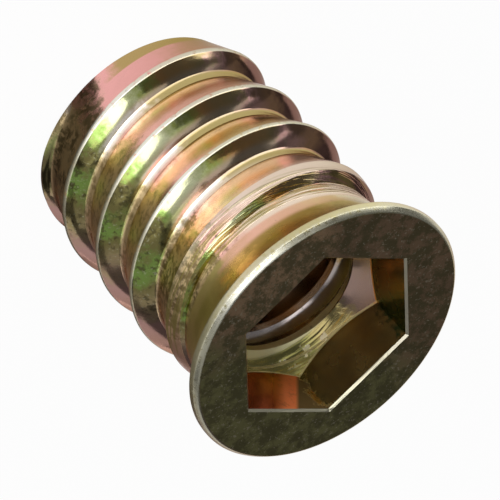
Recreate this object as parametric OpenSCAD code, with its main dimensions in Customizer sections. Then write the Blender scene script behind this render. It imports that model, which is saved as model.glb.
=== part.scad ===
// Flanged threaded insert for wood, turned in one piece.
// A coarse thread outside bites into the wood, a machine thread inside takes a bolt, and a hex
// socket in the flange takes the key that drives it. The insert stands on its tip, its drive
// face up, with the origin at the middle of the tip face. Millimetres.

/* [Body] */
// Length from the tip face to the drive face
length = 15.2; // [13:0.1:40]
// Diameter at the root of the wood thread
root_d = 9.9; // [9.4:0.1:10.4]
// Diameter of the tip face, where the tip chamfer begins
tip_d = 9.24; // [9:0.02:9.3]
// Height of the steep chamfer round the tip
tip_chamfer_h = 0.35; // [0.2:0.05:0.6]
// Diameter at which the steep chamfer turns into the slight one
tip_chamfer_d = 10.4; // [10:0.1:10.8]
// Height at which the slight chamfer reaches the thread's crest
tip_taper_h = 2; // [1:0.1:3]

/* [Flange] */
// Largest diameter of the flange
flange_d = 13.34; // [13:0.02:18]
// Diameter of the flat drive face inside the rounded edge
face_d = 12.94; // [12:0.02:13]
// Height of the rim, from the flare to the drive face
rim_h = 0.65; // [0.5:0.05:1.5]
// Height over which the rim is rounded into the drive face
rim_round_h = 0.25; // [0.1:0.05:0.4]
// How much the rim narrows where it meets the flare
rim_fall = 0.17; // [0.05:0.01:0.3]
// Height of the hollow flare under the rim
flare_h = 2.85; // [2:0.05:5]
// Diameter of the neck where the flare begins
neck_d = 10.4; // [10:0.1:11.4]
// Height of the cone between the thread root and the neck
neck_cone_h = 2.25; // [1:0.05:3]

/* [Wood thread] */
// Pitch of the right-hand wood thread
wood_pitch = 2.84; // [2.75:0.01:4]
// Crest diameter of the full thread
wood_d = 11.64; // [11.4:0.02:11.8]
// Crest diameter that the thread would have at the tip face
lead_d = 11.1; // [10.9:0.02:11.4]
// Height over which the crest grows from the lead to the full diameter
lead_h = 8; // [4:0.5:12]
// Width of the crest
crest_w = 0.14; // [0.05:0.01:0.2]
// Angle of the gentle flank that faces the tip, from the radial plane
tip_flank_a = 62.8; // [55:0.1:63]
// Angle of the steep flank that faces the flange, from the radial plane
load_flank_a = 38; // [20:0.5:39]
// Angle round the axis at which the crest leaves the tip face
start_a = -158; // [-180:1:180]
// Crest diameter of the last turn, beside the neck
last_d = 11.28; // [11:0.02:11.4]
// Width of the crest of the last turn
last_w = 0.48; // [0.2:0.02:0.6]
// Height below the neck at which the last turn begins
last_h = 2.8; // [2.4:0.1:3.5]
// Height above the neck at which the last turn sinks into the flare
runout_h = 1; // [0.5:0.1:1.5]

/* [Hex socket] */
// Width across the flats of the key
key_w = 8; // [7:0.5:9]
// Depth of the socket where its cone meets the bore
socket_depth = 3.21; // [2.5:0.01:6]
// Point angle of the drill that leaves the cone
drill_a = 118; // [100:1:140]
// Width of the bevel round the mouth of the socket
socket_bevel = 0.14; // [0.05:0.01:0.3]

/* [Bore] */
// Diameter of the bore inside the crests of the machine thread
bore_d = 6.75; // [6:0.05:6.9]
// Diameter of the countersink in the tip face
countersink_d = 8.2; // [7.2:0.1:8.6]
// Height of the countersink
countersink_h = 0.7; // [0.3:0.05:1.2]

/* [Machine thread] */
// Pitch of the right-hand machine thread in the bore
bore_pitch = 1.25; // [1.25:0.01:1.5]
// Depth of its groove, from the bore outwards: shallower than the full thread, so that more than
// half of the bore's wall is left to measure
groove_h = 0.43; // [0.3:0.01:0.5]
// Width of the flat at the bottom of the groove
groove_w = 0.12; // [0.1:0.01:0.2]
// Angle between the sides of the groove
groove_a = 60; // [50:1:60]

/* [Hidden] */
$fn = 96;

// Cutters run this far past the faces that they open
over = 0.5;
// A cutter stays this far off the crest that it must not touch
clear = 0.03;
// How far the thread ridge is sunk into the core
sunk = 0.08;
// How far the groove of the machine thread starts inside the bore
proud = 0.07;
// Stations of the thread ridge and of the groove in a turn, and steps of the flare and of each
// curve of the rim
turn_steps = 60;
groove_steps = 24;
flare_steps = 10;
rim_steps = 4;

face_z = length;
rim_z = face_z - rim_h;
neck_z = rim_z - flare_h;
cone_z = neck_z - neck_cone_h;
rim_r = flange_d / 2;
flare_r = rim_r - rim_fall;
face_r = face_d / 2;
neck_r = neck_d / 2;
root_r = root_d / 2;
wood_r = wood_d / 2;
bore_r = bore_d / 2;
corner_r = key_w / sqrt(3);

// Hollow flare: a parabola from the neck to the rim
flare = [for (i = [0:flare_steps]) let(t = i / flare_steps)
    [neck_r + (flare_r - neck_r) * t * t, neck_z + flare_h * t]];
// Rim: it swells to the full radius, then rounds over into the drive face
rim_swell = [for (i = [1:rim_steps]) let(a = 90 * i / rim_steps)
    [flare_r + rim_fall * sin(a), rim_z + (rim_h - rim_round_h) * (1 - cos(a))]];
rim_round = [for (i = [1:rim_steps]) let(a = 90 * i / rim_steps)
    [face_r + (rim_r - face_r) * cos(a), face_z - rim_round_h * (1 - sin(a))]];

// The last turn: its crest drops over this height, falls further beside the neck, and then sinks
last_z = neck_z - last_h;
fading_h = 1.2;
last_fall = 0.17;
runout = [
    [neck_z - 1.4, last_d / 2],
    [neck_z, last_d / 2 - last_fall],
    [neck_z + runout_h, neck_r - sunk],
];

// Radius at which the full profile reaches its crest: it grows from the tip and drops on the last turn
function full_r(z) = min(
    lookup(z, [[0, lead_d / 2], [lead_h, wood_r]]),
    lookup(z, [[last_z, wood_r], [last_z + fading_h, last_d / 2]])
);
// How far the crest of the last turn reaches beyond the plain crest on each side
function spread(z) = lookup(z, [[last_z, 0], [last_z + fading_h, (last_w - crest_w) / 2]]);
// Radius of the crest that is left after the run-out
function crest_r(z) = min(full_r(z), lookup(z, runout));
// Height of the crest's lower edge at an angle round the axis
function crest_z(a) = wood_pitch * (a - start_a) / 360;
// One section of the ridge as radius and height, from the tip side to the flange side
function section(z) = let(
        inner = root_r - sunk,
        full = full_r(z),
        crest = crest_r(z + crest_w / 2),
        low = z - spread(z),
        high = z + crest_w + spread(z),
        tip_rise = tan(tip_flank_a),
        load_rise = tan(load_flank_a)
    ) [
        [inner, low - (full - inner) * tip_rise],
        [crest, low - (full - crest) * tip_rise],
        [crest, high + (full - crest) * load_rise],
        [inner, high + (full - inner) * load_rise],
    ];

// Body before the thread is laid on it, from below the tip face to the drive face
module core() {
    rotate_extrude()
        polygon(concat(
            [[0, -over], [root_r, -over], [root_r, cone_z]], flare, rim_swell, rim_round, [[0, face_z]]
        ));
}

// Solid through four-cornered sections of radius and height, each at its own angle
module helix(sections, angles) {
    last = len(angles) - 1;
    sides = [for (i = [0:last - 1], k = [0:3]) let(n = (k + 1) % 4, b = 4 * i)
        [b + k, b + n, b + n + 4, b + k + 4]];
    polyhedron(
        [for (i = [0:last], p = sections[i]) [p[0] * cos(angles[i]), p[0] * sin(angles[i]), p[1]]],
        concat([[3, 2, 1, 0]], sides, [[for (k = [0:3]) 4 * last + k]])
    );
}

// Helical ridge of the wood thread, from below the tip face to its end under the flare
module wood_thread() {
    first_a = start_a - 360 * (crest_w + wood_r - root_r + sunk) / wood_pitch;
    last_a = start_a + 360 * (neck_z + runout_h) / wood_pitch;
    stations = ceil((last_a - first_a) * turn_steps / 360);
    angles = [for (i = [0:stations]) first_a + (last_a - first_a) * i / stations];
    helix([for (a = angles) section(crest_z(a))], angles);
}

// Helical groove of the machine thread, from below the tip face into the socket
module bore_groove() {
    slope = tan(groove_a / 2);
    outer = groove_w / 2;
    inner = outer + (groove_h + proud) * slope;
    first_z = -inner - over;
    last_z = face_z - socket_depth + (groove_h + over) / tan(drill_a / 2) + inner;
    stations = ceil((last_z - first_z) * groove_steps / bore_pitch);
    heights = [for (i = [0:stations]) first_z + (last_z - first_z) * i / stations];
    helix(
        [for (z = heights) [
            [bore_r - proud, z - inner], [bore_r + groove_h, z - outer],
            [bore_r + groove_h, z + outer], [bore_r - proud, z + inner],
        ]],
        [for (z = heights) 360 * z / bore_pitch]
    );
}

// What the lathe takes off at the tip: all below the face, and the two chamfers round it
module tip_cut() {
    below = -2 * wood_pitch;
    beyond = wood_r + over;
    rotate_extrude()
        polygon([
            [0, below], [beyond, below], [beyond, tip_taper_h],
            [full_r(tip_taper_h) + clear, tip_taper_h],
            [tip_chamfer_d / 2, tip_chamfer_h], [tip_d / 2, 0], [0, 0],
        ]);
}

// Bore of the machine thread, with its countersink in the tip face
module bore_cut() {
    widening = (countersink_d - bore_d) / countersink_h;
    translate([0, 0, -over])
        cylinder(r = bore_r, h = length + 2 * over);
    translate([0, 0, -over])
        cylinder(d1 = countersink_d + over * widening, d2 = bore_d, h = countersink_h + over);
}

// Hex for the key, ending on the cone that the drill left, with a bevelled mouth
module socket_cut() {
    foot_z = face_z - socket_depth;
    top_z = face_z + over;
    cone_r = corner_r + over;
    cone_rise = (cone_r - bore_r) / tan(drill_a / 2);
    bevel_h = socket_bevel + over;
    intersection() {
        translate([0, 0, foot_z - over])
            cylinder(r = corner_r, h = top_z - foot_z + over, $fn = 6);
        rotate_extrude()
            polygon([
                [0, foot_z], [bore_r, foot_z], [cone_r, foot_z + cone_rise],
                [cone_r, top_z + over], [0, top_z + over],
            ]);
    }
    translate([0, 0, face_z - socket_bevel])
        cylinder(r1 = corner_r, r2 = corner_r + 2 * bevel_h / sqrt(3), h = bevel_h, $fn = 6);
}

module insert() {
    color([0.78, 0.66, 0.38])
        difference() {
            union() {
                core();
                wood_thread();
            }
            tip_cut();
            bore_cut();
            socket_cut();
            bore_groove();
        }
}

insert();
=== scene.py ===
# Threaded insert: a flanged insert for wood, turned from one steel bar, zinc plated and yellow
# passivated, standing on its tip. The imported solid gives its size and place. The mesh made here
# carries the finer forms, such as the machine thread in the bore, and the finish.
import math

import bpy
from mathutils import Matrix, Vector


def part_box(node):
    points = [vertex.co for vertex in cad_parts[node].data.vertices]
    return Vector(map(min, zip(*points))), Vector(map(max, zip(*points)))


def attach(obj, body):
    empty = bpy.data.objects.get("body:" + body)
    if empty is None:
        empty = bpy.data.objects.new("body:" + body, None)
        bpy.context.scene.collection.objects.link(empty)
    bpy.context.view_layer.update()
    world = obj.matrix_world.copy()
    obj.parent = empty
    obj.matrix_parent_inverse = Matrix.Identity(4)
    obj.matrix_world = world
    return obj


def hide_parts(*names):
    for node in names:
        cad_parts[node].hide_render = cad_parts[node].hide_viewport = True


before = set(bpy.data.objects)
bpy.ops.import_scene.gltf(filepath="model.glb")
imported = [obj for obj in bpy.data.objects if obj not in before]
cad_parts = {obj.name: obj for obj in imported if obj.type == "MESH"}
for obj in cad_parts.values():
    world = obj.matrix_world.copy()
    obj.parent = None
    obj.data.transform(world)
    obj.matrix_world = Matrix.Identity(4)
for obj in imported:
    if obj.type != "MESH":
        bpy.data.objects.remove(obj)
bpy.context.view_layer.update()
low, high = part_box("insert")
mm = 0.001

# ---------------------------------------------------------------------------------------------
# Camera: a long lens that looks down on the drive face, rolled so that the insert leans over
# towards the lower right with its tip at the upper left.
view_azimuth = math.radians(-123.0)
view_elevation = math.radians(36.98)
view_roll = math.radians(137.7)
view_distance = 503.7 * mm
view_aim = Vector((0, 0, 9.04 * mm))

camera_data = bpy.data.cameras.new("camera")
camera_data.lens = 842.6
camera_data.sensor_width = 36
camera_data.clip_start = 10 * mm
camera_data.clip_end = 20
camera = bpy.data.objects.new("camera", camera_data)
bpy.context.collection.objects.link(camera)
turn = (
    Matrix.Rotation(view_azimuth, 4, "Z")
    @ Matrix.Rotation(math.pi / 2 - view_elevation, 4, "X")
    @ Matrix.Rotation(view_roll, 4, "Z")
)
camera.matrix_world = Matrix.Translation(view_aim + view_distance * turn.col[2].to_3d()) @ turn
bpy.context.scene.camera = camera

# ---------------------------------------------------------------------------------------------
# Floor: a wide sheet of white card. It shows as white to the camera and in reflections, and keeps
# a faint shadow.
bpy.ops.object.select_all(action="DESELECT")
bpy.ops.mesh.primitive_plane_add(size=4, location=(0, 0, 0))
floor = bpy.context.active_object
floor.name = "floor"
white_card = bpy.data.materials.new("white_card")
white_card.use_nodes = True
card_nodes = white_card.node_tree.nodes
card_links = white_card.node_tree.links
card = card_nodes["Principled BSDF"]
card.inputs["Base Color"].default_value = (0.9, 0.9, 0.9, 1)
card.inputs["Roughness"].default_value = 0.9
card.inputs["Specular IOR Level"].default_value = 0.2
rays = card_nodes.new("ShaderNodeLightPath")
seen = card_nodes.new("ShaderNodeMath")
seen.operation = "MAXIMUM"
card_links.new(rays.outputs["Is Camera Ray"], seen.inputs[0])
card_links.new(rays.outputs["Is Glossy Ray"], seen.inputs[1])
shown = card_nodes.new("ShaderNodeMath")
shown.operation = "MAXIMUM"
card_links.new(seen.outputs["Value"], shown.inputs[0])
card_links.new(rays.outputs["Is Transmission Ray"], shown.inputs[1])
white_share = 0.965
share = card_nodes.new("ShaderNodeMath")
share.operation = "MULTIPLY"
share.inputs[1].default_value = white_share
card_links.new(shown.outputs["Value"], share.inputs[0])
glow = card_nodes.new("ShaderNodeEmission")
glow.inputs["Color"].default_value = (1, 1, 1, 1)
glow.inputs["Strength"].default_value = 1
blend = card_nodes.new("ShaderNodeMixShader")
card_links.new(share.outputs["Value"], blend.inputs["Fac"])
card_links.new(card.outputs["BSDF"], blend.inputs[1])
card_links.new(glow.outputs["Emission"], blend.inputs[2])
card_links.new(blend.outputs["Shader"], card_nodes["Material Output"].inputs["Surface"])
floor.data.materials.append(white_card)

# ---------------------------------------------------------------------------------------------
# Dark card: it lies on the floor on one side of the insert, where only reflections see it. It stands
# in for the floor's shade on that side, so that the metal is dark along that side, and it is darkest
# near the insert's foot as a painted contact shadow.
bpy.ops.object.select_all(action="DESELECT")
bpy.ops.mesh.primitive_plane_add(size=1, location=(0, 0, 0))
dark_card = bpy.context.active_object
dark_card.name = "dark_card"
dark_side = math.radians(294)
card_near = -4.4 * mm
card_depth = 120 * mm
card_width = 240 * mm
card_lift = 0.02 * mm
dark_card.scale = (card_depth, card_width, 1)
dark_card.rotation_euler = (0, 0, dark_side)
dark_card.location = (
    (card_near + card_depth / 2) * math.cos(dark_side),
    (card_near + card_depth / 2) * math.sin(dark_side),
    card_lift,
)
bpy.ops.object.transform_apply(location=True, rotation=True, scale=True)
shade_card_material = bpy.data.materials.new("shade_card_material")
shade_card_material.use_nodes = True
shade_card_nodes = shade_card_material.node_tree.nodes
shade_card_links = shade_card_material.node_tree.links
shade_card_place = shade_card_nodes.new("ShaderNodeTexCoord")
shade_card_fan = shade_card_nodes.new("ShaderNodeTexGradient")
shade_card_fan.gradient_type = "RADIAL"
shade_card_links.new(shade_card_place.outputs["Object"], shade_card_fan.inputs["Vector"])
shade_card_end = (0.34, 0.32, 0.28, 1)
shade_card_clear = (0.9, 0.88, 0.84, 0)
shade_card_ramp = shade_card_nodes.new("ShaderNodeValToRGB")
shade_card_stops = shade_card_ramp.color_ramp.elements
shade_card_stops[0].position = 0.08
shade_card_stops[0].color = shade_card_end
shade_card_stops[1].position = 0.90
shade_card_stops[1].color = shade_card_end
shade_card_stops.new(0.20).color = (0.46, 0.43, 0.38, 1)
shade_card_stops.new(0.27).color = (0.50, 0.47, 0.42, 1)
shade_card_stops.new(0.33).color = shade_card_clear
shade_card_stops.new(0.89).color = shade_card_clear
shade_card_links.new(shade_card_fan.outputs["Fac"], shade_card_ramp.inputs["Fac"])
shade_card_links.new(shade_card_ramp.outputs["Alpha"], shade_card_nodes["Principled BSDF"].inputs["Alpha"])
shade_card_far = shade_card_nodes.new("ShaderNodeVectorMath")
shade_card_far.operation = "LENGTH"
shade_card_links.new(shade_card_place.outputs["Object"], shade_card_far.inputs[0])
# Painted contact shadow: the card turns darker within a few millimetres of the insert's foot
painted_foot_shade = shade_card_nodes.new("ShaderNodeMapRange")
painted_foot_shade.inputs["From Min"].default_value = 6.5 * mm
painted_foot_shade.inputs["From Max"].default_value = 9 * mm
shade_card_links.new(shade_card_far.outputs["Value"], painted_foot_shade.inputs["Value"])
foot_shade_blend = shade_card_nodes.new("ShaderNodeMix")
foot_shade_blend.data_type = "RGBA"
foot_shade_blend.inputs["A"].default_value = (0.13, 0.12, 0.10, 1)
shade_card_links.new(painted_foot_shade.outputs["Result"], foot_shade_blend.inputs["Factor"])
shade_card_links.new(shade_card_ramp.outputs["Color"], foot_shade_blend.inputs["B"])
shade_card_links.new(foot_shade_blend.outputs["Result"], shade_card_nodes["Principled BSDF"].inputs["Base Color"])
shade_card_nodes["Principled BSDF"].inputs["Roughness"].default_value = 1
dark_card.data.materials.append(shade_card_material)
dark_card.visible_camera = False
dark_card.visible_diffuse = False
dark_card.visible_shadow = False

# ---------------------------------------------------------------------------------------------
# Light: soft boxes round the insert, each aimed at its middle, and a dim room behind them.


def soft_box(name, azimuth, elevation, width, height, radiance, distance=0.30):
    """Hang a soft box in a direction of the room, its sides level and upright; the key is round."""
    round_box = name.startswith("key")
    away = Vector((
        math.cos(math.radians(azimuth)) * math.cos(math.radians(elevation)),
        math.sin(math.radians(azimuth)) * math.cos(math.radians(elevation)),
        math.sin(math.radians(elevation)),
    ))
    data = bpy.data.lights.new(name, "AREA")
    data.shape = "ELLIPSE" if round_box else "RECTANGLE"
    data.size = width
    data.size_y = height
    data.energy = radiance * math.pi * width * height * (math.pi / 4 if round_box else 1)
    lamp = bpy.data.objects.new(name, data)
    bpy.context.collection.objects.link(lamp)
    lamp.location = view_aim + distance * away
    lamp.rotation_euler = away.to_track_quat("Z", "Y").to_euler()
    lamp.visible_camera = False


soft_box("key_box", azimuth=157, elevation=43, width=0.22, height=0.16, radiance=1.6)
soft_box("key_halo", azimuth=157, elevation=47, width=0.40, height=0.28, radiance=0.35,
    distance=0.31)
soft_box("top_box", azimuth=150, elevation=78, width=0.12, height=0.08, radiance=0.7)
soft_box("side_box", azimuth=92, elevation=61, width=0.12, height=0.10, radiance=0.5)
soft_box("low_box_right", azimuth=69, elevation=10, width=0.24, height=0.105, radiance=2.0)
soft_box("low_box_middle", azimuth=118, elevation=12, width=0.30, height=0.14, radiance=2.0)
soft_box("low_box_left", azimuth=166, elevation=12, width=0.235, height=0.14, radiance=2.2)
soft_box("low_box_end", azimuth=212, elevation=12, width=0.22, height=0.12, radiance=0.8)
soft_box("strip_box", azimuth=36, elevation=33, width=0.03, height=0.10, radiance=0.5)
soft_box("fill_box_right", azimuth=10, elevation=20, width=0.14, height=0.16, radiance=0.08)
soft_box("fill_box_left", azimuth=234, elevation=46, width=0.26, height=0.20, radiance=0.26)
soft_box("fill_box_low", azimuth=270, elevation=8, width=0.24, height=0.10, radiance=0.45)

room = bpy.data.worlds.new("room")
bpy.context.scene.world = room
room.use_nodes = True
room.node_tree.nodes["Background"].inputs["Color"].default_value = (1, 1, 1, 1)
room.node_tree.nodes["Background"].inputs["Strength"].default_value = 0.09
bpy.context.scene.view_settings.view_transform = "Standard"

# ---------------------------------------------------------------------------------------------
# Insert: one piece of free-cutting steel. The bar is turned to its outline, the coarse thread is
# cut outside and the machine thread inside, and the hexagon is broached into the drilled socket.
# It is shaped in millimetres, because Blender's tools merge what lies too close in metres, and
# brought to metres at the end.
length = (high[2] - low[2]) / mm
flange_r = (high[0] - low[0]) / 2 / mm
root_r = 4.95
neck_r = 5.2
rim_h = 0.65
rim_round_h = 0.22
rim_fall = 0.17
rim_swell_h = 0.2
face_inset = 0.18
face_r = flange_r - face_inset
rim_z = length - rim_h
flare_h = 2.85
neck_cone_h = 2.25
neck_z = rim_z - flare_h
cone_z = neck_z - neck_cone_h
around = 256
# Cutters run this far past the faces that they open
over = 1


def closed_outline(name, points):
    """Draw an outline of (radius, height) points in the XZ plane, one vertex after another."""
    bpy.ops.object.select_all(action="DESELECT")
    bpy.ops.mesh.primitive_plane_add(size=1, location=(0, 0, 0))
    piece = bpy.context.active_object
    piece.name = name
    bpy.ops.object.mode_set(mode="EDIT")
    bpy.ops.mesh.select_all(action="SELECT")
    bpy.ops.mesh.merge(type="CENTER")
    bpy.ops.transform.translate(value=(points[0][0], 0, points[0][1]))
    for here, there in zip(points, points[1:]):
        step = (there[0] - here[0], 0, there[1] - here[1])
        bpy.ops.mesh.extrude_region_move(TRANSFORM_OT_translate={"value": step})
    bpy.ops.object.mode_set(mode="OBJECT")
    return piece


def apply_modifier(piece, kind, **settings):
    """Add a modifier with these settings and apply it."""
    bpy.ops.object.select_all(action="DESELECT")
    bpy.context.view_layer.objects.active = piece
    piece.select_set(True)
    modifier = piece.modifiers.new(kind.lower(), kind)
    for setting, value in settings.items():
        setattr(modifier, setting, value)
    bpy.ops.object.modifier_apply(modifier=modifier.name)


def tidy(piece, merge=1e-4):
    """Merge doubles, close the ends and turn the faces outwards."""
    bpy.ops.object.select_all(action="DESELECT")
    bpy.context.view_layer.objects.active = piece
    piece.select_set(True)
    bpy.ops.object.mode_set(mode="EDIT")
    bpy.ops.mesh.select_all(action="SELECT")
    bpy.ops.mesh.remove_doubles(threshold=merge)
    bpy.ops.mesh.fill_holes(sides=0)
    bpy.ops.mesh.select_all(action="SELECT")
    bpy.ops.mesh.normals_make_consistent(inside=False)
    bpy.ops.object.mode_set(mode="OBJECT")


def turned(name, points, steps=around):
    """A solid of revolution: an outline that starts and ends on the axis, spun once round."""
    piece = closed_outline(name, points)
    apply_modifier(piece, "SCREW", angle=2 * math.pi, screw_offset=0, iterations=1, steps=steps,
        render_steps=steps, axis="Z", use_merge_vertices=True, merge_threshold=1e-4)
    tidy(piece)
    return piece


def helical(name, points, pitch, turns, steps, start_z):
    """A closed outline swept along a right-hand helix, these steps in a turn, from a height."""
    piece = closed_outline(name, points)
    apply_modifier(piece, "SCREW", angle=2 * math.pi * turns, screw_offset=pitch * turns,
        iterations=1, steps=round(steps * turns), render_steps=round(steps * turns), axis="Z",
        use_merge_vertices=False)
    bpy.ops.object.mode_set(mode="EDIT")
    bpy.ops.mesh.select_all(action="SELECT")
    bpy.ops.transform.translate(value=(0, 0, start_z))
    bpy.ops.object.mode_set(mode="OBJECT")
    return piece


def joined(piece, other, operation):
    """Join, cut or intersect two solids, and drop the second."""
    apply_modifier(piece, "BOOLEAN", operation=operation, object=other, solver="EXACT")
    bpy.data.objects.remove(other)


def arc(middle, radii, start, end, steps):
    """Points of an elliptic arc, in degrees, after its start."""
    angles = [math.radians(start + (end - start) * i / steps) for i in range(1, steps + 1)]
    return [(middle[0] + radii[0] * math.cos(a), middle[1] + radii[1] * math.sin(a)) for a in angles]


def filleted(before, corner, after, radius, steps):
    """Points of the round that replaces a corner between two straight lines."""
    corner = Vector(corner)
    one = (Vector(before) - corner).normalized()
    two = (Vector(after) - corner).normalized()
    half = one.angle(two) / 2
    middle = corner + (one + two).normalized() * radius / math.sin(half)
    first = corner + one * radius / math.tan(half) - middle
    last = corner + two * radius / math.tan(half) - middle
    swing = first.angle_signed(last)
    points = []
    for i in range(steps + 1):
        a = -swing * i / steps
        points.append((
            middle.x + first.x * math.cos(a) - first.y * math.sin(a),
            middle.y + first.x * math.sin(a) + first.y * math.cos(a),
        ))
    return points


# The turned body: root of the thread, cone of the neck, hollow flare and rounded rim
flare_steps = 16
flare = [
    (neck_r + (flange_r - rim_fall - neck_r) * (i / flare_steps) ** 2,
     neck_z + (rim_z - neck_z) * i / flare_steps)
    for i in range(flare_steps + 1)
]
rim = arc((flange_r - rim_fall, rim_z + rim_swell_h), (rim_fall, rim_swell_h), -90, 0, 6)
rim_corner = (flange_r, length - rim_round_h)
outer_round = 0.10
inner_round = 0.18
edge = filleted((flange_r, rim_z), rim_corner, (face_r, length), outer_round, 3)
edge += filleted(rim_corner, (face_r, length), (0, length), inner_round, 4)
tip_r = 4.62
chamfer_r = 5.2
chamfer_h = 0.35
shoulder_h = chamfer_h * (root_r - tip_r) / (chamfer_r - tip_r)
body = turned("insert_body",
    [(0, 0), (tip_r, 0), (root_r, shoulder_h), (root_r, cone_z)] + flare + rim + edge + [(0, length)])

# The bore: drilled through and countersunk at the tip
bore_minor_r = 3.375
bore_major_r = 3.99
countersink_r = 4.1
countersink_h = 0.7
widening = (countersink_r - bore_minor_r) / countersink_h
bore = turned("bore", [
    (0, -over), (countersink_r + widening * over, -over), (bore_minor_r, countersink_h),
    (bore_minor_r, length + over), (0, length + over),
], steps=160)
joined(body, bore, "DIFFERENCE")

# The socket: a hexagon broached down to the cone of a wider drill, its mouth bevelled
key_w = 8
corner_r = key_w / math.sqrt(3)
socket_depth = 3.21
socket_foot = length - socket_depth
drill_half_angle = math.radians(59)
drill_slope = 1 / math.tan(drill_half_angle)
drill_r = 6
below = 0.3
hexagon_h = length + over - (socket_foot - over)
hexagon_turn = math.radians(30)
bpy.ops.object.select_all(action="DESELECT")
bpy.ops.mesh.primitive_cylinder_add(vertices=6, radius=corner_r, depth=hexagon_h,
    location=(0, 0, socket_foot - over + hexagon_h / 2), rotation=(0, 0, hexagon_turn))
hexagon = bpy.context.active_object
bpy.ops.object.transform_apply(location=True, rotation=True)
drill = turned("drill", [
    (0, socket_foot - below * drill_slope),
    (bore_minor_r - below, socket_foot - below * drill_slope),
    (drill_r, socket_foot + (drill_r - bore_minor_r) * drill_slope),
    (drill_r, length + 2 * over), (0, length + 2 * over),
], steps=192)
joined(hexagon, drill, "INTERSECT")
joined(body, hexagon, "DIFFERENCE")
mouth_bevel = 0.10
mouth_z = length - mouth_bevel - below
mouth_h = 2 * below + mouth_bevel
bpy.ops.object.select_all(action="DESELECT")
bpy.ops.mesh.primitive_cone_add(vertices=6, radius1=corner_r - 2 * below / math.sqrt(3),
    radius2=corner_r + 2 * (mouth_bevel + below) / math.sqrt(3), depth=mouth_h,
    location=(0, 0, mouth_z + mouth_h / 2), rotation=(0, 0, hexagon_turn))
mouth = bpy.context.active_object
bpy.ops.object.transform_apply(location=True, rotation=True)
joined(body, mouth, "DIFFERENCE")

# The wood thread: a buttress ridge that rises gently from the tip side and falls steeply to the
# flange side, with rounded crest edges and a rounded foot
wood_pitch = 2.84
wood_r = 5.82
lead_r = 5.55
lead_h = 8
crest_w = 0.14
tip_rise = 1.95
load_rise = 0.78
start_angle = math.radians(-158)
sunk = 0.08
skin = 0.012
tip_round = 0.15
load_round = 0.20
ridge_h = wood_r - root_r
foot = root_r - sunk
tip_foot = (root_r - skin, -(ridge_h + skin) * tip_rise)
tip_edge = (wood_r, 0)
load_edge = (wood_r, crest_w)
load_foot = (foot, crest_w + (ridge_h + sunk) * load_rise)
tip_side = filleted(tip_foot, tip_edge, load_edge, tip_round, 3)
load_side = filleted(tip_edge, load_edge, load_foot, load_round, 6)
bulge = 0.035
hollow_r = 0.42
hollow_angle = math.atan2(1, load_rise)
hollow_middle = root_r - skin + hollow_r
hollow_steps = 5
hollow = []
for i in range(hollow_steps + 1):
    a = math.pi + (math.pi / 2 - hollow_angle) * (1 - i / hollow_steps)
    hollow.append((hollow_middle + hollow_r * math.cos(a), hollow_r * math.sin(a)))
flank_end = (hollow[0][0], load_edge[1] + (load_edge[0] - hollow[0][0]) * load_rise)
hollow = [(r, z - hollow[0][1] + flank_end[1]) for r, z in hollow]
flank_from = load_side[-1]
flank_run = (flank_end[0] - flank_from[0], flank_end[1] - flank_from[1])
belly = []
for part in (0.2, 0.4, 0.6, 0.8):
    out = bulge * 4 * part * (1 - part)
    belly.append((
        flank_from[0] + flank_run[0] * part + out * math.sin(hollow_angle) * load_rise,
        flank_from[1] + flank_run[1] * part + out * math.sin(hollow_angle),
    ))
under_foot = [(foot, hollow[-1][1]), (foot, tip_foot[1])]
ridge_outline = [tip_foot] + tip_side + load_side + belly + hollow + under_foot
thread_end = length - 3.2
lead_in = 1.0
first_angle = start_angle - 2 * math.pi * (crest_w + lead_in) / wood_pitch
turns = thread_end / wood_pitch + (start_angle - first_angle) / (2 * math.pi)
ridge = helical("wood_thread", ridge_outline + [tip_foot], wood_pitch, turns, steps=200,
    start_z=wood_pitch * (first_angle - start_angle) / (2 * math.pi))

# The ridge is swept at one size. Here its crest grows from the tip, and on the last turn it drops,
# broadens and runs out, and both of its ends sink into the body
swing = Matrix.Rotation(first_angle, 4, "Z")
last_z = 8.9
fading_h = 1.2
last_r = 5.64
crest_spread = 0.17
foot_spread = 0.18
rise_from = -0.35
rise_h = 0.4
fall_h = 0.37
buried = root_r - sunk / 2
for vertex in ridge.data.vertices:
    spot = swing @ vertex.co
    radius = math.hypot(spot.x, spot.y)
    grown = min(max(spot.z, 0) / lead_h, 1)
    fading = min(max((spot.z - last_z) / fading_h, 0), 1)
    full = lead_r + (wood_r - lead_r) * grown + (last_r - wood_r) * fading
    wanted = root_r + (radius - root_r) * (full - root_r) / ridge_h if radius > root_r else radius
    turned_by = math.atan2(spot.y, spot.x) - start_angle
    crest_z = wood_pitch * turned_by / (2 * math.pi)
    crest_z += wood_pitch * round((spot.z - crest_z - crest_w / 2) / wood_pitch)
    begun = min(max((crest_z - rise_from) / rise_h, 0), 1)
    left = min(max((thread_end - crest_z) / fall_h, 0), 1)
    wanted = buried + (wanted - buried) * begun * left if wanted > buried else wanted
    aside = spot.z - crest_z - crest_w / 2
    height = min(max((radius - root_r) / ridge_h, 0), 1)
    if aside > 0:
        spread = fading * (crest_spread * height)
    else:
        spread = fading * (foot_spread * (1 - height) - crest_spread * height)
    vertex.co = (spot.x * wanted / radius, spot.y * wanted / radius, spot.z + spread)
tidy(ridge)

# The bar was turned before the thread was cut, so the first turn is trimmed by the chamfers of the
# tip, and the crest of the last one runs out into the neck
skim = 0.004
blank_z = 0.05
blank = turned("blank", [
    (0, blank_z), (tip_r + blank_z * (chamfer_r - tip_r) / chamfer_h + skim, blank_z),
    (chamfer_r + skim, chamfer_h), (5.66, 2.0), (wood_r + 0.1, 3.5),
    (wood_r + 0.1, length - 6.0), (wood_r + 0.02, length - 5.6), (5.62, length - 4.9),
    (5.55, length - 4.2), (5.47, length - 3.57), (5.32, length - 3.0), (5.1, length - 2.5),
    (0, length - 2.5),
])
joined(ridge, blank, "INTERSECT")
joined(body, ridge, "UNION")

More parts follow.
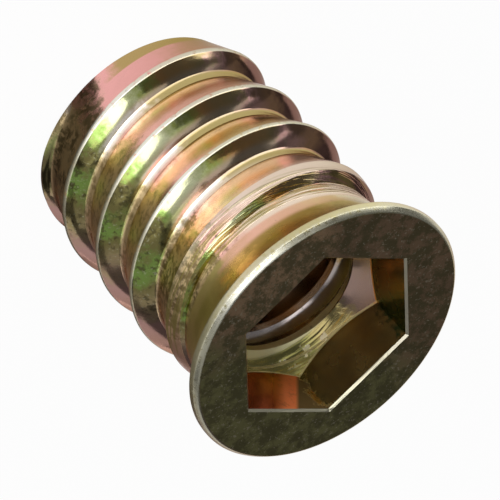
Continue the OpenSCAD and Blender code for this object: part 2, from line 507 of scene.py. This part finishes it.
# The machine thread: a groove tapped up the bore, which runs out through the cone
bore_pitch = 1.25
inner_r = bore_minor_r - 0.06
land = 0.13
half_flat = 0.10
turns_below = 1.5
past_foot = 0.8
groove = helical("groove", [
    (inner_r, land), (inner_r, bore_pitch - land), (bore_major_r, bore_pitch / 2 + half_flat),
    (bore_major_r, bore_pitch / 2 - half_flat), (inner_r, land),
], bore_pitch, (socket_foot + past_foot) / bore_pitch + turns_below, steps=120,
    start_z=-turns_below * bore_pitch)
tidy(groove)
joined(body, groove, "DIFFERENCE")

# Brought to metres, with its sharp edges kept
bpy.ops.object.select_all(action="DESELECT")
bpy.context.view_layer.objects.active = body
body.select_set(True)
bpy.ops.object.mode_set(mode="EDIT")
bpy.ops.mesh.select_all(action="SELECT")
bpy.ops.mesh.remove_doubles(threshold=1e-4)
bpy.ops.transform.resize(value=(mm, mm, mm), center_override=(0, 0, 0))
bpy.ops.object.mode_set(mode="OBJECT")
bpy.ops.object.shade_smooth_by_angle(angle=math.radians(24))

# The finish: bright zinc with a yellow passivate, which shades from pink and gold to olive and green
# round the insert, partly its own colours and partly painted reflection, highlight and shade, is dull
# and mottled on the drive face, and rubs pale along the edges
yellow_zinc = bpy.data.materials.new("yellow_zinc")
yellow_zinc.use_nodes = True
zinc_nodes = yellow_zinc.node_tree.nodes
zinc_links = yellow_zinc.node_tree.links
plating = zinc_nodes["Principled BSDF"]
plating.inputs["Metallic"].default_value = 1
plating.inputs["Specular Tint"].default_value = (0.66, 0.56, 0.52, 1)
place = zinc_nodes.new("ShaderNodeTexCoord")


def calculate(operation, first, second):
    """A Math node: each operand is a number or another node's output."""
    made = zinc_nodes.new("ShaderNodeMath")
    made.operation = operation
    for socket, value in zip(made.inputs, (first, second)):
        if isinstance(value, (int, float)):
            socket.default_value = value
        else:
            zinc_links.new(value, socket)
    return made.outputs["Value"]


def times(first, *others):
    """Multiply a share by others, one after another."""
    for other in others:
        first = calculate("MULTIPLY", first, other)
    return first


def without(share):
    """What a share leaves of the whole."""
    return calculate("SUBTRACT", 1, share)


def fade(value, start, end, unit=1):
    """Rise smoothly from 0 to 1 as a value goes from start to end."""
    made = zinc_nodes.new("ShaderNodeMapRange")
    made.interpolation_type = "SMOOTHSTEP"
    made.inputs["From Min"].default_value = start * unit
    made.inputs["From Max"].default_value = end * unit
    zinc_links.new(value, made.inputs["Value"])
    return made.outputs["Result"]


def band(value, start, full, waning, end, unit=1):
    """Rise from start to full, stay at 1, and fall again from waning to end."""
    return times(fade(value, start, full, unit), fade(value, end, waning, unit))


def tint(share, under, over):
    """Lay one colour over another by a share from 0 to 1."""
    made = zinc_nodes.new("ShaderNodeMix")
    made.data_type = "RGBA"
    zinc_links.new(share, made.inputs["Factor"])
    for socket, value in ((made.inputs["A"], under), (made.inputs["B"], over)):
        if isinstance(value, tuple):
            socket.default_value = (*value, 1)
        else:
            zinc_links.new(value, socket)
    return made.outputs["Result"]


def ramp(value, stops):
    """Colours along a value from 0 to 1."""
    made = zinc_nodes.new("ShaderNodeValToRGB")
    for extra in range(len(stops) - 2):
        made.color_ramp.elements.new(0.5)
    for element, (stop, colour) in zip(made.color_ramp.elements, stops):
        element.position = stop
        element.color = (*colour, 1)
    zinc_links.new(value, made.inputs["Fac"])
    return made.outputs["Color"]


def noise(size, detail, roughness=0.5):
    """Noise whose blotches are about this many millimetres across."""
    made = zinc_nodes.new("ShaderNodeTexNoise")
    made.inputs["Scale"].default_value = 1 / (size * mm)
    made.inputs["Detail"].default_value = detail
    made.inputs["Roughness"].default_value = roughness
    zinc_links.new(place.outputs["Object"], made.inputs["Vector"])
    return made.outputs["Fac"]


def bump(relief, strength, depth):
    """Relief this many millimetres deep."""
    made = zinc_nodes.new("ShaderNodeBump")
    made.inputs["Strength"].default_value = strength
    made.inputs["Distance"].default_value = depth * mm
    zinc_links.new(relief, made.inputs["Height"])
    return made


# Where a point lies: its height, its distance from the axis, and how far its surface faces up
spot = zinc_nodes.new("ShaderNodeSeparateXYZ")
zinc_links.new(place.outputs["Object"], spot.inputs["Vector"])
facing = zinc_nodes.new("ShaderNodeSeparateXYZ")
zinc_links.new(place.outputs["Normal"], facing.inputs["Vector"])
height = spot.outputs["Z"]
upward = facing.outputs["Z"]
facing_up = fade(upward, 0.3, 0.6)
flat = zinc_nodes.new("ShaderNodeCombineXYZ")
zinc_links.new(spot.outputs["X"], flat.inputs["X"])
zinc_links.new(spot.outputs["Y"], flat.inputs["Y"])
from_axis = zinc_nodes.new("ShaderNodeVectorMath")
from_axis.operation = "LENGTH"
zinc_links.new(flat.outputs["Vector"], from_axis.inputs[0])
radius = from_axis.outputs["Value"]

# Where it lies round the axis: 0.5 is the side that faces the camera, 0 and 1 meet at the back, and
# the colours drift with the blotches. The colours laid along it are partly the passivate's own and
# partly painted reflection, highlight and shade.
camera_side = math.radians(147)
swung = zinc_nodes.new("ShaderNodeMapping")
swung.inputs["Rotation"].default_value = (0, 0, -camera_side)
zinc_links.new(place.outputs["Object"], swung.inputs["Vector"])
dial = zinc_nodes.new("ShaderNodeTexGradient")
dial.gradient_type = "RADIAL"
zinc_links.new(swung.outputs["Vector"], dial.inputs["Vector"])
blotches = noise(1.6, 3)
specks = noise(0.35, 5, 0.65)
freckles = fade(noise(0.14, 3, 0.6), 0.58, 0.70)
drift = times(calculate("SUBTRACT", blotches, 0.5), 0.09)
shiver = times(calculate("SUBTRACT", specks, 0.5), 0.05)
around_axis = calculate("ADD", calculate("ADD", dial.outputs["Fac"], drift), shiver)


def past_back(waning, end):
    """From just past the back round to where it wanes."""
    return band(around_axis, 0.08, 0.18, waning, end)


# The colours of the outside round the axis: the gentle slopes and the root, the steep flanks and
# their feet, and the flare and its foot. Besides the passivate's own shades they hold painted
# highlights and painted shade.
pale_green = (0.46, 0.44, 0.20)
gold = (0.52, 0.37, 0.13)
salmon = (0.66, 0.40, 0.24)
pink = (0.84, 0.46, 0.39)
olive = (0.44, 0.36, 0.13)
bronze = (0.46, 0.33, 0.14)
mauve = (0.62, 0.36, 0.32)
umber = (0.52, 0.30, 0.17)
leaf = (0.33, 0.50, 0.12)
moss = (0.31, 0.27, 0.10)
plum = (0.22, 0.12, 0.10)
rust = (0.58, 0.46, 0.33)
hazel = (0.54, 0.42, 0.22)
slopes = ramp(around_axis, [
    (0.0, salmon), (0.14, gold), (0.25, (0.40, 0.34, 0.15)), (0.32, (0.40, 0.29, 0.12)),
    (0.38, (0.52, 0.30, 0.19)), (0.44, (0.66, 0.37, 0.28)), (0.49, pink), (0.525, pink),
    (0.55, (0.82, 0.62, 0.34)), (0.61, (0.84, 0.64, 0.36)), (0.66, (0.80, 0.56, 0.36)),
    (0.74, mauve), (0.86, gold), (1.0, salmon),
])
# On the flanks the pale stops in the middle are a painted highlight, the pink stop at 0.347 a painted
# highlight streak, and the plum stops painted shade
flanks = ramp(around_axis, [
    (0.0, gold), (0.14, umber), (0.20, plum), (0.27, plum), (0.30, umber),
    (0.33, (0.40, 0.24, 0.16)), (0.347, (0.86, 0.50, 0.46)), (0.37, (0.48, 0.38, 0.19)),
    (0.43, (0.66, 0.36, 0.14)), (0.46, (0.40, 0.46, 0.12)), (0.49, (0.78, 0.80, 0.50)),
    (0.525, (0.80, 0.80, 0.48)), (0.545, leaf), (0.565, moss), (0.595, moss), (0.61, leaf),
    (0.628, leaf), (0.645, moss), (0.675, hazel), (0.72, mauve), (0.86, umber), (1.0, gold),
])
flank_feet = ramp(around_axis, [
    (0.0, gold), (0.14, umber), (0.20, plum), (0.27, plum), (0.30, umber), (0.345, mauve),
    (0.38, rust), (0.45, rust), (0.49, (0.78, 0.54, 0.40)), (0.525, (0.62, 0.60, 0.30)),
    (0.555, (0.46, 0.44, 0.17)), (0.585, moss), (0.612, leaf), (0.64, moss), (0.675, hazel),
    (0.72, mauve), (0.86, umber), (1.0, gold),
])
# On the flare the near-white stops are a painted highlight and the orange stop at 0.52 a painted
# glint
flare_tints = ramp(around_axis, [
    (0.0, gold), (0.20, pale_green), (0.30, (0.95, 0.98, 0.78)), (0.36, (0.64, 0.54, 0.20)),
    (0.42, (0.32, 0.23, 0.06)), (0.49, (0.42, 0.27, 0.09)), (0.52, (0.86, 0.52, 0.20)),
    (0.545, (0.48, 0.38, 0.13)), (0.60, (0.34, 0.28, 0.08)), (0.68, bronze), (0.75, mauve),
    (0.88, gold), (1.0, gold),
])
flare_feet = ramp(around_axis, [
    (0.0, gold), (0.20, pale_green), (0.29, (0.94, 0.97, 0.74)), (0.36, (0.72, 0.54, 0.28)),
    (0.42, (0.74, 0.46, 0.30)), (0.48, (0.84, 0.48, 0.36)), (0.53, salmon), (0.55, olive),
    (0.68, bronze), (0.75, mauve), (0.88, gold), (1.0, gold),
])

# How far a point lies below the crest, which grows from the tip and drops on the last turn
grown_part = times(calculate("MINIMUM", height, lead_h * mm), (wood_r - lead_r) / lead_h)
past_last = calculate("SUBTRACT", height, last_z * mm)
faded_part = calculate("MAXIMUM", calculate("MINIMUM", past_last, fading_h * mm), 0)
worn_drop = 0.05
faded_part = times(faded_part, (wood_r - last_r + worn_drop) / fading_h)
crest_here = calculate("SUBTRACT", calculate("ADD", grown_part, lead_r * mm), faded_part)
below_crest = calculate("SUBTRACT", crest_here, radius)
flanks = tint(fade(below_crest, 0.30, 0.60, mm), flanks, flank_feet)

# The slopes: rosy near the tip, golden in the middle turns, darkened by mottled painted shade past
# the side that faces the camera, pale at the root as a painted highlight, pale on the last turn, with
# a thin olive line of painted shade in the fillet
rosy = times(
    fade(height, 3.0, 2.0, mm), fade(around_axis, 0.36, 0.44), fade(around_axis, 0.525, 0.505))
slopes = tint(times(rosy, 0.6), slopes, (0.84, 0.38, 0.38))
golden = times(band(height, 5.4, 6.0, 8.2, 8.7, mm), past_back(0.43, 0.475))
slopes = tint(times(golden, 0.7), slopes, (0.56, 0.50, 0.21))
clean_middle = band(height, 2.6, 3.6, 8.0, 9.0, mm)
# Painted shade, mottled: the slopes are darkened past the side that faces the camera, less so in the
# middle turns
mottled_far_shade = times(
    fade(around_axis, 0.512, 0.528), without(fade(around_axis, 0.64, 0.70)),
    fade(specks, 0.40, 0.56), without(times(clean_middle, 0.85)), fade(blotches, 0.36, 0.52))
slopes = tint(times(mottled_far_shade, 0.75), slopes, (0.10, 0.08, 0.03))
# Painted highlight: a pale strip at the root of the slopes on the lit side
root_highlight = times(
    fade(radius, 5.36, 5.16, mm), past_back(0.46, 0.53), fade(height, 2.4, 3.0, mm))
slopes = tint(times(root_highlight, 0.75), slopes, (0.96, 0.83, 0.60))
# Painted shade: a thin olive-dark line in the fillet
fillet_shade_line = times(fade(radius, 5.07, 5.03, mm), past_back(0.45, 0.50))
slopes = tint(times(fillet_shade_line, 0.85), slopes, (0.40, 0.31, 0.09))
last_slope = times(
    fade(height, 8.7, 9.3, mm), past_back(0.46, 0.53), fade(radius, 5.75, 5.6, mm))
slopes = tint(times(last_slope, 0.7), slopes, (0.84, 0.70, 0.57))
mottled = times(
    band(around_axis, 0.50, 0.54, 0.68, 0.72),
    times(fade(specks, 0.48, 0.62), fade(height, 2.6, 3.4, mm)))
slopes = tint(times(mottled, 0.55), slopes, (0.30, 0.20, 0.08))

# The flanks: dark spots and pale freckles on the olive side. Then a painted highlight along the foot
# of each slope, and painted shade on the first turn at the tip
spotted = band(around_axis, 0.54, 0.57, 0.68, 0.72)
flanks = tint(times(spotted, fade(specks, 0.50, 0.62), 0.75), flanks, (0.12, 0.10, 0.04))
flanks = tint(times(spotted, freckles, 0.4), flanks, (0.80, 0.80, 0.58))
outside = tint(facing_up, slopes, flanks)
# Painted highlight: a near-white line along the foot of each slope on the side that faces the camera
painted_foot_highlight = times(
    fade(radius, 5.24, 5.10, mm), fade(upward, 0.02, 0.10),
    band(around_axis, 0.46, 0.49, 0.535, 0.565))
outside = tint(times(painted_foot_highlight, 0.9), outside, (0.98, 0.90, 0.80))
# Painted shade: the flank of the first turn at the tip is darkened
tip_shade = times(fade(height, 1.35, 1.05, mm), facing_up, past_back(0.65, 0.68))
outside = tint(times(tip_shade, 0.93), outside, (0.10, 0.08, 0.04))

# The neck: dark lines that the lathe left, and above them the flare
line_stretch = 26
stretched = zinc_nodes.new("ShaderNodeMapping")
stretched.inputs["Scale"].default_value = (1, 1, line_stretch)
zinc_links.new(place.outputs["Object"], stretched.inputs["Vector"])
turned_lines = zinc_nodes.new("ShaderNodeTexNoise")
turned_lines.inputs["Scale"].default_value = 0.36 / mm
turned_lines.inputs["Detail"].default_value = 2
zinc_links.new(stretched.outputs["Vector"], turned_lines.inputs["Vector"])
on_neck = times(
    band(height, length - 4.7, length - 4.3, length - 3.3, length - 3.1, mm),
    fade(radius, 4.7, 4.8, mm))
dark_lines = times(on_neck, fade(turned_lines.outputs["Fac"], 0.50, 0.60))
outside = tint(times(dark_lines, 0.65), outside, (0.36, 0.30, 0.09))
on_flare = fade(height, length - 3.1, length - 2.9, mm)
flare_tints = tint(fade(height, length - 2.6, length - 2.2, mm), flare_feet, flare_tints)
outside = tint(on_flare, outside, flare_tints)

# Inside, the walls are golden brown and the drilled cone is creamy, olive on one side and mauve on
# the other, partly its own colours and partly painted reflection
walls = (0.56, 0.43, 0.18)
cream = (0.74, 0.60, 0.26)
cone_mauve = (0.62, 0.42, 0.35)
cone_tints = ramp(around_axis, [
    (0.0, cream), (0.045, cream), (0.07, cone_mauve), (0.12, cone_mauve), (0.3, walls),
    (0.7, walls), (0.89, (0.48, 0.44, 0.15)), (0.955, (0.52, 0.48, 0.17)), (0.985, cream),
    (1.0, cream),
])

# Painted reflections on the walls: one wall is painted glowing orange, brighter towards its right end
# and dark beyond a slanted line; the others are painted paler, greener or dim as lit and shaded
# copies of one surface, each from corner to corner
in_socket = fade(height, socket_foot, socket_foot + 0.3, mm)
painted_glow_lean = 0.724
across = calculate("ADD", spot.outputs["X"], times(height, painted_glow_lean))
painted_wall_glow = ramp(fade(across, 9.0, 11.3, mm), [
    (0.0, (0.60, 0.15, 0.06)), (0.5, (0.85, 0.22, 0.08)), (0.85, (1.0, 0.34, 0.13)),
])
painted_wall_glow = tint(times(fade(specks, 0.50, 0.66), 0.3), painted_wall_glow, (0.40, 0.09, 0.03))
painted_wall_glow = tint(fade(across, 11.3, 11.6, mm), painted_wall_glow, (0.22, 0.15, 0.06))
painted_glow_wall = times(band(around_axis, 0.75, 0.76, 0.921, 0.929), in_socket)
near_wall = band(around_axis, 0.25, 0.26, 0.42, 0.43)
hidden_walls = band(around_axis, 0.42, 0.43, 0.75, 0.76)
dim_wall = times(band(around_axis, 0.09, 0.10, 0.26, 0.27), in_socket)
far_wall = calculate(
    "MAXIMUM", fade(around_axis, 0.92, 0.93), fade(around_axis, 0.095, 0.085))
wall_tints = tint(hidden_walls, walls, (0.54, 0.54, 0.28))
wall_tints = tint(near_wall, wall_tints, (0.98, 0.66, 0.38))
wall_tints = tint(painted_glow_wall, wall_tints, painted_wall_glow)
wall_tints = tint(times(dim_wall, 0.9), wall_tints, (0.12, 0.22, 0.09))
wall_tints = tint(far_wall, wall_tints, (0.74, 0.58, 0.24))

# A painted highlight runs along the walls' foot at the cone, chips lie on the cone, and the turns of
# the machine thread below carry a painted highlight near their top and painted shade deeper down
cone_h = times(calculate("SUBTRACT", radius, bore_minor_r * mm), drill_slope)
above_cone = calculate("SUBTRACT", height, cone_h)
# Painted highlight: a cream line, orange on the dim wall, along the foot of the walls
wall_foot = times(
    fade(above_cone, socket_foot + 0.13, socket_foot + 0.08, mm),
    fade(height, socket_foot, socket_foot + 0.1, mm))
foot_highlight_tints = tint(dim_wall, (1.0, 0.92, 0.60), (1.0, 0.60, 0.20))
wall_tints = tint(wall_foot, wall_tints, foot_highlight_tints)
chips = times(
    fade(noise(0.40, 3, 0.6), 0.57, 0.62), fade(around_axis, 0.86, 0.90),
    band(height, socket_foot - 0.02, socket_foot + 0.02, socket_foot + 0.4, socket_foot + 0.6, mm),
    times(facing_up, 0.6))
cone_tints = tint(chips, cone_tints, (1.0, 0.96, 0.80))
inside = tint(facing_up, wall_tints, cone_tints)
# Painted highlight near the top of the machine thread, painted shade deeper in the bore
thread_highlight_and_shade = ramp(fade(height, socket_foot - 3.3, socket_foot, mm), [
    (0.0, (0.52, 0.40, 0.26)), (0.42, (0.58, 0.46, 0.32)), (0.5, (1.0, 0.90, 0.88)),
    (0.75, (1.0, 0.88, 0.84)), (0.82, (1.0, 0.93, 0.56)),
])
inside = tint(fade(height, socket_foot - 0.02, socket_foot - 0.12, mm), inside, thread_highlight_and_shade)
colours = tint(fade(radius, 4.65, 4.75, mm), inside, outside)

# Drive face: dull olive and purple brown in blotches, with pale freckles
purple_side = band(around_axis, 0.0, 0.1, 0.57, 0.65)
face_side = tint(purple_side, (0.46, 0.44, 0.20), (0.52, 0.35, 0.22))
lighter_side = band(around_axis, 0.38, 0.46, 0.54, 0.62)
face_side = tint(times(lighter_side, 0.6), face_side, (0.95, 0.64, 0.38))
face_blotches = fade(noise(0.9, 7, 0.75), 0.42, 0.56)
drive_face = tint(times(face_blotches, 0.8), face_side, (0.22, 0.20, 0.10))
drive_face = tint(times(freckles, 0.6), drive_face, (0.95, 0.86, 0.64))
on_face = times(fade(upward, 0.93, 0.99), fade(height, length - 0.3, length - 0.1, mm))
colours = tint(on_face, colours, drive_face)

# Pale, rubbed edges: the crest of the thread, the rim, and the bevel of the socket
before_last = without(times(fade(height, last_z + 0.2, last_z + 0.8, mm), 0.8))
crest_wear = times(
    fade(below_crest, 0.055, 0.02, mm), fade(specks, 0.30, 0.46),
    fade(height, length - 3.3, length - 3.6, mm), before_last)
off_face = without(fade(upward, 0.9, 0.98))
# The rim is rubbed pale all round; the stronger share on the half that faces the camera is a painted
# highlight
rim_wear_and_highlight = times(band(around_axis, 0.20, 0.27, 0.62, 0.72), 0.7)
rim_wear_and_highlight = calculate("ADD", rim_wear_and_highlight, 0.3)
upper_rim = times(fade(height, length - 0.36, length - 0.14, mm), 0.85)
on_rim = times(
    fade(radius, 6.2, 6.45, mm), fade(height, length - 0.8, length - 0.6, mm), off_face,
    times(rim_wear_and_highlight, fade(noise(0.22, 5, 0.75), 0.39, 0.50)),
    calculate("ADD", upper_rim, 0.15))
on_bevel = times(
    fade(upward, 0.6, 0.68), without(fade(upward, 0.76, 0.85)),
    fade(height, length - 0.3, length - 0.2, mm))
edges = calculate("MAXIMUM", calculate("MAXIMUM", crest_wear, on_rim), on_bevel)
whole_rim = times(
    fade(radius, 6.3, 6.4, mm), fade(height, length - 0.7, length - 0.6, mm), off_face)
# The rim's colours round the axis hold painted light: pale stops on the lit side and a near-black
# stop of painted shade past it
rim_tints = ramp(around_axis, [
    (0.0, gold), (0.20, olive), (0.26, (0.84, 0.80, 0.58)), (0.38, (0.78, 0.72, 0.42)),
    (0.44, (0.60, 0.54, 0.28)), (0.5, (0.54, 0.50, 0.31)), (0.66, (0.46, 0.44, 0.30)),
    (0.74, (0.16, 0.16, 0.11)), (1.0, gold),
])
colours = tint(times(whole_rim, 0.8), colours, rim_tints)
bare_zinc = (0.68, 0.66, 0.52)
colours = tint(times(edges, 0.85), colours, bare_zinc)
# Painted highlight: the rubbed edges are whiter still on the side that faces the camera
edge_highlight_side = band(around_axis, 0.44, 0.49, 0.54, 0.59)
colours = tint(times(edge_highlight_side, edges, 0.7), colours, (0.90, 0.89, 0.80))
colours = tint(times(fade(specks, 0.62, 0.78), 0.45), colours, (0.20, 0.16, 0.08))
zinc_links.new(colours, plating.inputs["Base Color"])

# Gloss: bright in the thread, duller on the face, the flare and the rubbed edges, and dull where
# the drill, the chips and the worn walls left the metal rough
dullness = calculate("ADD", times(on_face, 0.14), times(edges, 0.07))
dullness = calculate("ADD", dullness, times(on_flare, 0.10))
drilled = band(
    height, socket_foot - 0.75, socket_foot - 0.65, socket_foot - 0.1, socket_foot + 0.02, mm)
worn_walls = calculate("MAXIMUM", wall_foot, times(painted_glow_wall, fade(across, 9.8, 11.0, mm)))
worn_walls = times(worn_walls, fade(upward, 0.6, 0.3))
worn_walls = calculate("MAXIMUM", worn_walls, chips)
drilled = calculate("MAXIMUM", times(drilled, 0.22), times(worn_walls, 0.45))
dullness = calculate("ADD", dullness, times(drilled, fade(radius, 5.2, 5.1, mm)))
satin = calculate("ADD", times(band(around_axis, 0.52, 0.56, 0.66, 0.70), 0.16), 0.07)
satin = times(satin, without(facing_up))
dullness = calculate("ADD", dullness, times(satin, fade(radius, 4.7, 4.75, mm)))
spotty = times(fade(blotches, 0.35, 0.7), 0.08)
least_rough = 0.10
roughness = calculate("ADD", calculate("ADD", dullness, spotty), least_rough)
zinc_links.new(roughness, plating.inputs["Roughness"])

# Surface: a fine orange peel, the rings that the lathe left, and scored lines on the neck and cone
peel = bump(specks, 0.5, 0.006)
rings = zinc_nodes.new("ShaderNodeTexWave")
rings.wave_type = "BANDS"
rings.bands_direction = "Z"
rings.inputs["Scale"].default_value = 0.3 / mm
rings.inputs["Distortion"].default_value = 0.6
rings.inputs["Detail"].default_value = 2
rings.inputs["Detail Scale"].default_value = 3
zinc_links.new(place.outputs["Object"], rings.inputs["Vector"])
tooling = bump(times(rings.outputs["Fac"], without(facing_up)), 0.4, 0.008)
zinc_links.new(peel.outputs["Normal"], tooling.inputs["Normal"])
smoother = band(around_axis, 0.53, 0.555, 0.72, 0.78)
scored = times(on_neck, without(times(smoother, 0.75)))
on_cone = times(
    facing_up, fade(radius, 4.7, 4.6, mm), fade(height, socket_foot - 0.3, socket_foot, mm),
    calculate("MAXIMUM", fade(around_axis, 0.80, 0.86), fade(around_axis, 0.06, 0.03)))
scored = calculate("MAXIMUM", scored, times(on_cone, 0.5))
lines = bump(times(turned_lines.outputs["Fac"], scored), 1, 0.07)
zinc_links.new(tooling.outputs["Normal"], lines.inputs["Normal"])
zinc_links.new(lines.outputs["Normal"], plating.inputs["Normal"])

body.data.materials.clear()
body.data.materials.append(yellow_zinc)
body.name = "threaded_insert"
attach(body, "root")
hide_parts("insert")
